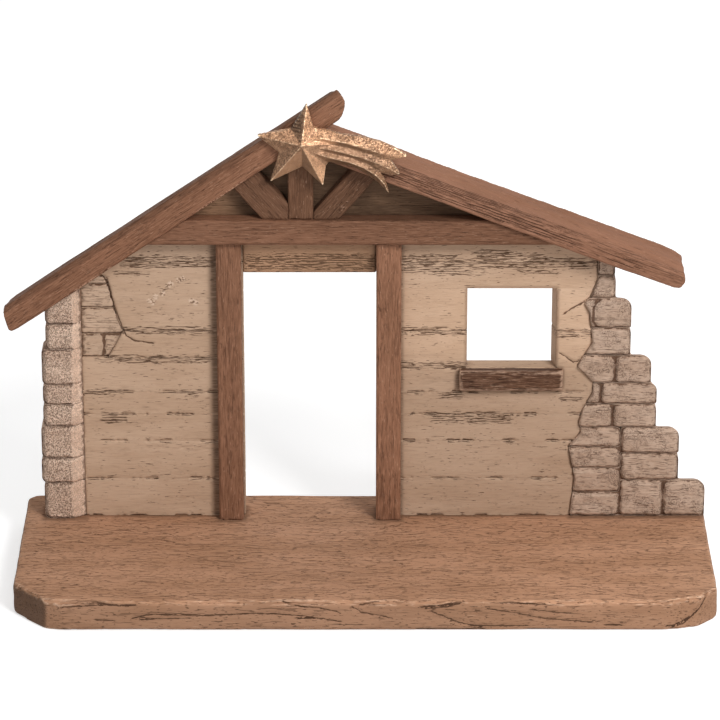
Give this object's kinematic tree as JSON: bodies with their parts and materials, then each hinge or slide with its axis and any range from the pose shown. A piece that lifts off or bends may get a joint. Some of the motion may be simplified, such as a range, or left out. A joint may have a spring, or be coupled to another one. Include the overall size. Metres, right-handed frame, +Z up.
{
  "type": "nativity stable",
  "caption": "Tabletop nativity stable: truss roof over a board wall with a doorway and a window, stone ends, a comet star at the ridge and a wide base for standing figures.",
  "frame": {"origin": "middle of the base board's underside", "axes": "+X to the viewer's right along the wall, +Y to the back, +Z up"},
  "size_m": [0.3056, 0.108, 0.2156],
  "materials": {
    "base_wood": "matte stained, carved grain",
    "timber": "matte stained, carved grain, worn edges",
    "sill_wood": "matte stained, worn edges",
    "wall_board": "matte painted, brown in the grain",
    "gable_board": "matte dark stain",
    "stone": "matte painted to look like pale stone",
    "gold": "antique gold paint on cast resin"
  },
  "bodies": {
    "root": {"base_board": "base_wood", "left_rafter": "timber", "right_rafter": "timber", "tie_beam": "timber", "king_post": "timber", "left_brace": "timber", "right_brace": "timber", "left_post": "timber", "right_post": "timber", "door_header": "wall_board", "window_sill": "sill_wood", "comet_star": "gold", "left_board_1": "wall_board", "left_board_2": "wall_board", "left_board_3": "wall_board", "left_board_4": "wall_board", "left_board_5": "wall_board", "left_board_6": "wall_board", "left_board_7": "wall_board", "left_board_8": "wall_board", "left_board_9": "wall_board", "right_board_1": "wall_board", "right_board_2": "wall_board", "right_board_3": "wall_board", "right_board_4": "wall_board", "right_board_5": "wall_board", "window_left_board_1": "wall_board", "window_left_board_2": "wall_board", "window_right_board_1": "wall_board", "window_right_board_2": "wall_board", "window_head_board_1": "wall_board", "window_head_board_2": "wall_board", "gable_board_1": "gable_board", "gable_board_2": "gable_board", "gable_board_3": "gable_board", "pier_stone_1": "stone", "pier_stone_2": "stone", "pier_stone_3": "stone", "pier_stone_4": "stone", "pier_stone_5": "stone", "pier_stone_6": "stone", "pier_stone_7": "stone", "pier_stone_8": "stone", "patch_brick_1": "stone", "patch_brick_2": "stone", "patch_brick_3": "stone", "patch_brick_4": "stone", "rubble_course_1": "stone", "rubble_course_2": "stone", "rubble_course_3": "stone", "rubble_course_4": "stone", "rubble_course_5": "stone", "rubble_course_6": "stone", "rubble_course_7": "stone", "rubble_course_8": "stone", "rubble_course_9": "stone", "rubble_course_10": "stone", "rubble_course_11": "stone"}
  },
  "joints": []
}
